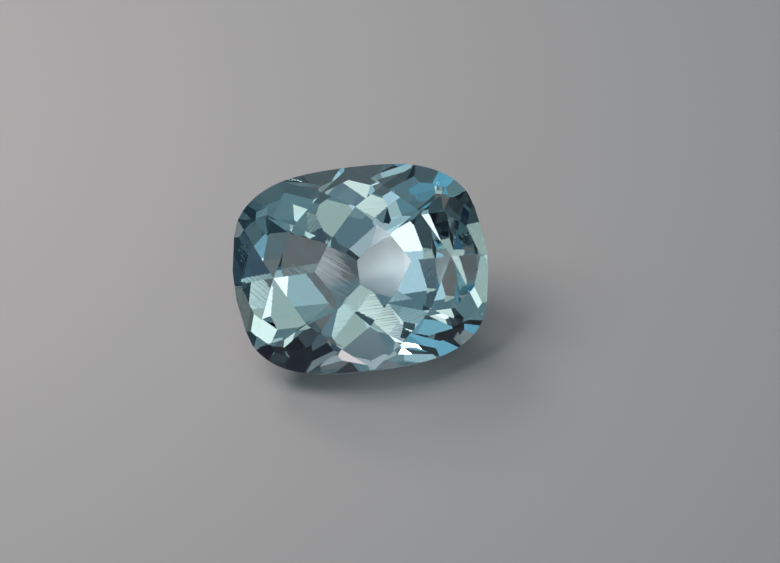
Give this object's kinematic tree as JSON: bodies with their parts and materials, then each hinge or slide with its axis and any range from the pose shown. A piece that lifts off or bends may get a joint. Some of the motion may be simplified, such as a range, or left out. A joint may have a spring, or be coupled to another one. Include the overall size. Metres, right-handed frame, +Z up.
{
  "type": "topaz gemstone",
  "caption": "Clear cushion-cut gemstone with a diamond-shaped table, a faceted crown and a pointed pavilion, lying on one long pavilion facet.",
  "frame": {"origin": "centre of the bounding box in plan, on the surface the stone rests on", "axes": "+X along the stone's length, +Z up from the facet it rests on; the table faces up and towards -Y"},
  "size_m": [0.01, 0.0066, 0.0064],
  "materials": {
    "topaz": "polished clear crystal, very light sea green, refractive index about 1.62"
  },
  "bodies": {
    "root": {"topaz": "topaz"}
  },
  "joints": []
}
